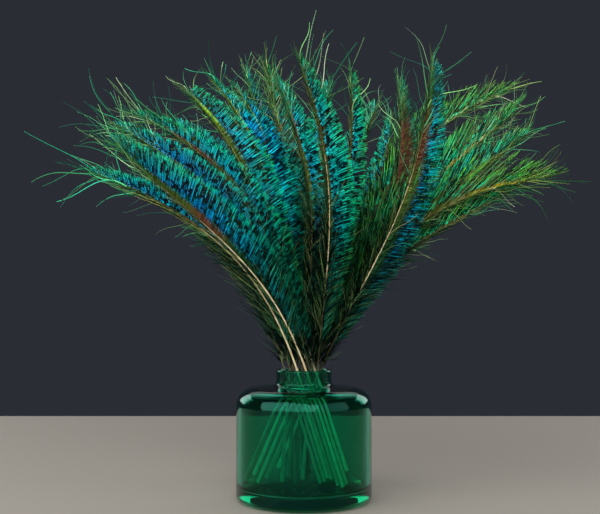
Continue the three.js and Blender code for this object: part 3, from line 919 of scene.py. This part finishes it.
def quillMaterial():
    material, shader = newMaterial("quill")
    tree = material.node_tree
    up = attribute(tree, "shaftRun")
    streak = placeNoise(tree, quill["streakScale"])
    pale = mapped(tree, streak, *quill["streakNoise"], 0, 1)

    def streaked(key):
        first, second = quill[key]
        return mixed(tree, pale, colour(first), colour(second))

    # Painted light and shade on the quills inside the vase
    cut = mixed(tree, attribute(tree, "cutLight"), streaked("cutShade"), streaked("cutIvory"))
    above = mapped(tree, up, *quill["rimAt"], 0, 1, smooth=True)
    low = mixed(tree, above, cut, streaked("ivory"))
    # Painted shade: above the rim, short of where it turns pale, the shaft is painted dark
    short = calc(tree, "SUBTRACT", attribute(tree, "paleFrom"), up)
    shaded = calc(tree, "MULTIPLY", above, mapped(tree, short, *quill["paleSoft"], 0, 1, smooth=True))
    low = mixed(tree, shaded, low, streaked("shaftShade"))
    high = ramp(tree, attribute(tree, "band"), quill["high"])
    past = calc(tree, "SUBTRACT", up, attribute(tree, "paleTo"))
    tone = mixed(tree, mapped(tree, past, *quill["highSoft"], 0, 1, smooth=True), low, high)
    tree.links.new(tone, shader.inputs["Base Color"])
    tree.links.new(mapped(tree, streak, *noiseRange, *quill["roughness"]), shader.inputs["Roughness"])
    return material


# What the tree is told about one feather. share runs from the front of its bunch to the back.
def featherInputs(feather, bunch, vaneStart, share, number):
    neckDepth = bunch["front"] + (bunch["back"] - bunch["front"]) * share
    return {
        "Vane Start": vaneStart, "Vane Length": feather["vane"] * mm, "Wisp Length": feather["wisp"] * mm,
        "Down Length": growth["downLength"] * mm, "Fluff Length": growth["fluffLength"] * mm,
        "Wide Side": math.copysign(1, feather["heading"] - bunch["lean"]),
        "Turn": math.copysign(1, feather["depth"]),
        "Neck Depth": neckDepth * mm, "Tip Depth": feather["depth"] * mm,
        "Seed": growth["featherSeed"] * number,
        **{title: feather[key] for key, title in (habits | finish).items()},
    }


# The shaft's line, with the tree on it
def makeHolder(name, route, tree, values):
    mesh = bpy.data.meshes.new(name)
    edges = [(n, n + 1) for n in range(len(route) - 1)]
    mesh.from_pydata([(x, 0, z) for x, z in route], edges, [])
    holder = makeObject("holder_" + name, mesh)
    grow = holder.modifiers.new("feather", "NODES")
    grow.node_group = tree
    sockets = {item.name: item.identifier for item in tree.interface.items_tree if item.in_out == "INPUT"}
    for key, value in values.items():
        grow[sockets[key]] = float(value)
    return holder


def makePlume(name, mesh):
    mesh.name = "plume_" + name
    for spare in ("strand", "barbSide", "ringRun"):
        if spare in mesh.attributes:
            mesh.attributes.remove(mesh.attributes[spare])
    plume = makeObject("plume_" + name, mesh)
    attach(plume, "root")
    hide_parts("feather_" + name)


def makeFeathers():
    groups = {kind: strandCollection(kind) for kind in strands}
    tree = featherTree(groups, barbMaterial(), quillMaterial())
    holders = {}
    for side, rows in feathers.items():
        bunch = bunches[side]
        for i, feather in enumerate(rows):
            number = len(holders)
            feather["cutLight"] = bunch["cutLight"][i % len(bunch["cutLight"])]
            route, vaneStart = shaftRoute(feather, bunch, cutHeights[number % len(cutHeights)])
            values = featherInputs(feather, bunch, vaneStart, i / (len(rows) - 1), number)
            name = f"{side}_{i + 1}"
            holders[name] = makeHolder(name, route, tree, values)
    graph = bpy.context.evaluated_depsgraph_get()
    meshes = {}
    for name, holder in holders.items():
        grown = holder.evaluated_get(graph)
        meshes[name] = bpy.data.meshes.new_from_object(grown, preserve_all_data_layers=True,
                                                       depsgraph=graph)
    for name, mesh in meshes.items():
        makePlume(name, mesh)
    for holder in holders.values():
        bpy.data.objects.remove(holder)
    for group in groups.values():
        for spare in list(group.objects):
            bpy.data.objects.remove(spare)
        bpy.data.collections.remove(group)
    triangles = sum(len(face.vertices) - 2 for mesh in meshes.values() for face in mesh.polygons)
    print("feathers:", len(meshes), "pieces,", triangles, "triangles")


# Floor, light and camera

floor = {"halfWidth": 2.5, "near": -1.6, "far": 0.515, "height": -0.0004,
         "colour": "#9c968c", "roughness": 0.55}
view = {"place": (-0.003, -0.741, 0.156), "pitch": 2.41, "lens": 57.0, "sensor": 36}
backdrop = "#2b2d35"
lights = {
    "key": {"place": (-0.8, -1.45, 1.0), "aim": (0, 0, 0.22), "size": (4.0, 1.9), "power": 84},
    "fill": {"place": (1.3, -1.25, 0.85), "aim": (0, 0, 0.2), "size": (2.6, 1.7), "power": 18},
    "back": {"place": (0.0, 1.4, 1.8), "aim": (0, 0, 0.2), "size": (3.2, 1.8), "power": 12},
    "rearLeft": {"place": (-1.3, 1.2, 0.7), "aim": (0, 0, 0.2), "size": (0.8, 0.8), "power": 4.5},
    "rearRight": {"place": (1.3, 1.2, 0.7), "aim": (0, 0, 0.2), "size": (0.8, 0.8), "power": 4.5},
}


def makeFloor():
    w, near, far, z = floor["halfWidth"], floor["near"], floor["far"], floor["height"]
    mesh = bpy.data.meshes.new("floor")
    mesh.from_pydata([(-w, near, z), (w, near, z), (w, far, z), (-w, far, z)], [], [(0, 1, 2, 3)])
    material, shader = newMaterial("paleFloor")
    shader.inputs["Base Color"].default_value = colour(floor["colour"])
    shader.inputs["Roughness"].default_value = floor["roughness"]
    mesh.materials.append(material)
    makeObject("floor", mesh)


def makeLights():
    world = bpy.data.worlds.new("studio")
    world.use_nodes = True
    world.node_tree.nodes["Background"].inputs["Color"].default_value = colour(backdrop)
    scene.world = world
    for name, facts in lights.items():
        lamp = bpy.data.lights.new(name, "AREA")
        lamp.shape = "RECTANGLE"
        lamp.size, lamp.size_y = facts["size"]
        lamp.energy = facts["power"]
        made = makeObject(name, lamp)
        made.location = facts["place"]
        aim = Vector(facts["aim"]) - made.location
        made.rotation_euler = aim.to_track_quat("-Z", "Y").to_euler()


def makeCamera():
    lens = bpy.data.cameras.new("camera")
    lens.lens = view["lens"]
    lens.sensor_width = view["sensor"]
    camera = makeObject("camera", lens)
    camera.location = view["place"]
    camera.rotation_euler = (math.radians(90 + view["pitch"]), 0, 0)
    scene.camera = camera


makeCamera()
makeLights()
makeFloor()
makeVase(greenGlass())
print("vase made")
makeFeathers()
scene.view_settings.view_transform = "Standard"
